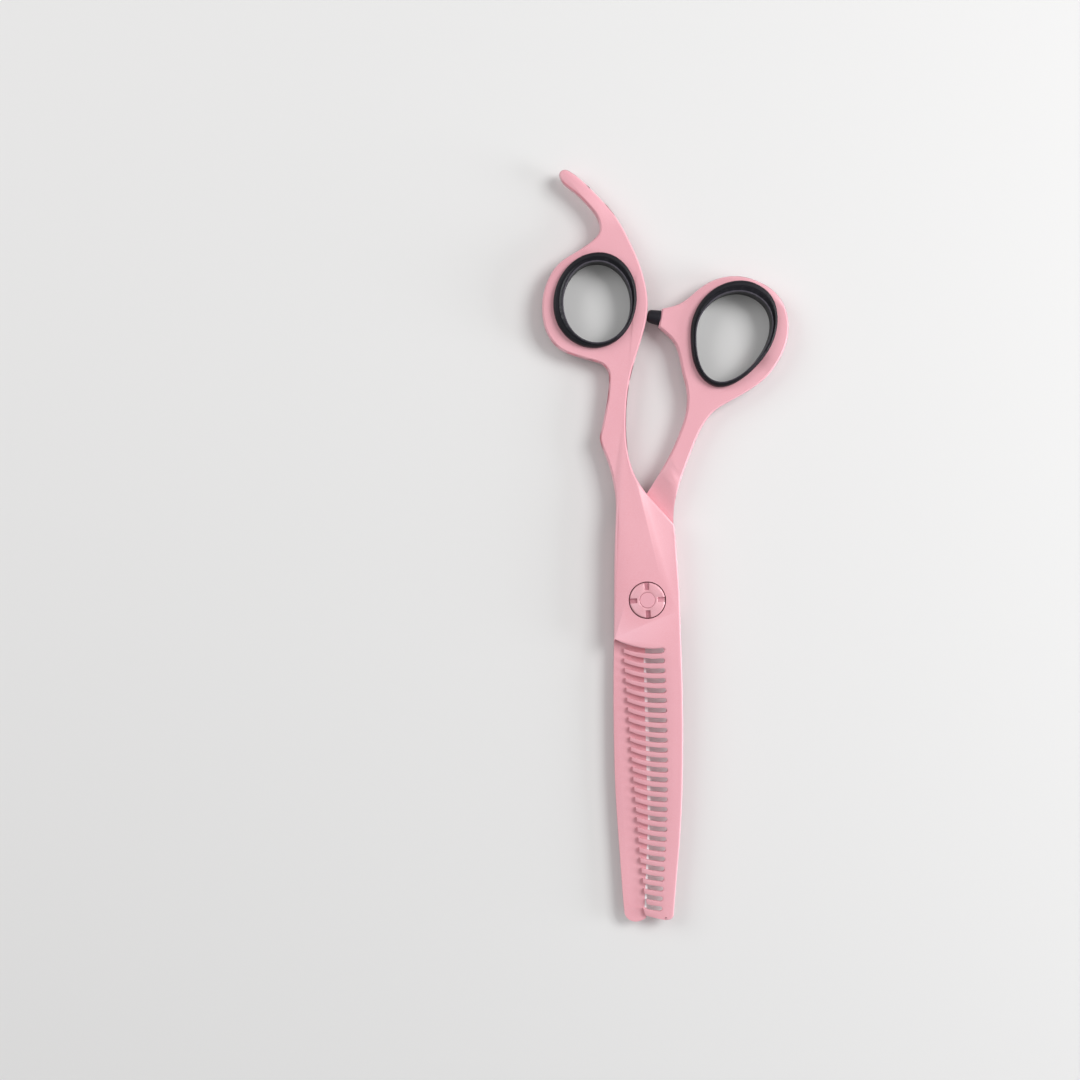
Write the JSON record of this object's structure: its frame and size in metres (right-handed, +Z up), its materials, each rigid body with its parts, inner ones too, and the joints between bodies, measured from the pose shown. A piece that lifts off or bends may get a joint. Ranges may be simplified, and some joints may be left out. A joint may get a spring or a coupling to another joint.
{
  "type": "thinning shears",
  "caption": "Right-handed thinning shears with a comb blade, a plain blade, padded finger rings, a fixed finger rest and a tension dial at the pivot.",
  "frame": {"origin": "on the pivot axis, at the underside of the pivot bolt's head, which is the surface that the shears lie on", "axes": "+Y from the pivot to the finger rings, so the blades point along -Y; +Z up through the pivot from the bolt's head to the tension dial; +X towards the thumb ring"},
  "size_m": [0.0556, 0.17, 0.0064],
  "materials": {
    "pink_coat": "satin pink coating over polished stainless steel",
    "dial_coat": "satin pink coating, slightly lighter and turned on a lathe",
    "ring_rubber": "soft satin black",
    "bumper_rubber": "matt black",
    "stud_steel": "bare machined",
    "spring_steel": "bare rolled sheet",
    "bush_bronze": "turned, oiled",
    "white_plastic": "slippery matt sheet"
  },
  "bodies": {
    "finger_half": {"comb_half": "pink_coat", "finger_ring_insert": "ring_rubber", "pivot_sleeve": "bush_bronze"},
    "thumb_half": {"plain_half": "pink_coat", "thumb_ring_insert": "ring_rubber", "bumper_cap": "bumper_rubber", "bumper_stud": "stud_steel", "pivot_bolt": "dial_coat", "blade_washer": "white_plastic", "friction_washer": "white_plastic", "click_spring": "spring_steel"},
    "dial": {"tension_dial": "dial_coat"}
  },
  "joints": [
    {"name": "blade_pivot", "type": "hinge", "parent": "finger_half", "child": "thumb_half", "pos_m": [0, 0, 0.0032], "axis": [0, 0, -1], "range_deg": [0, 100]},
    {"name": "tension_dial_turn", "type": "hinge", "parent": "thumb_half", "child": "dial", "pos_m": [0, 0, 0.0053], "axis": [0, 0, 1], "range_deg": [-90, 90]}
  ]
}
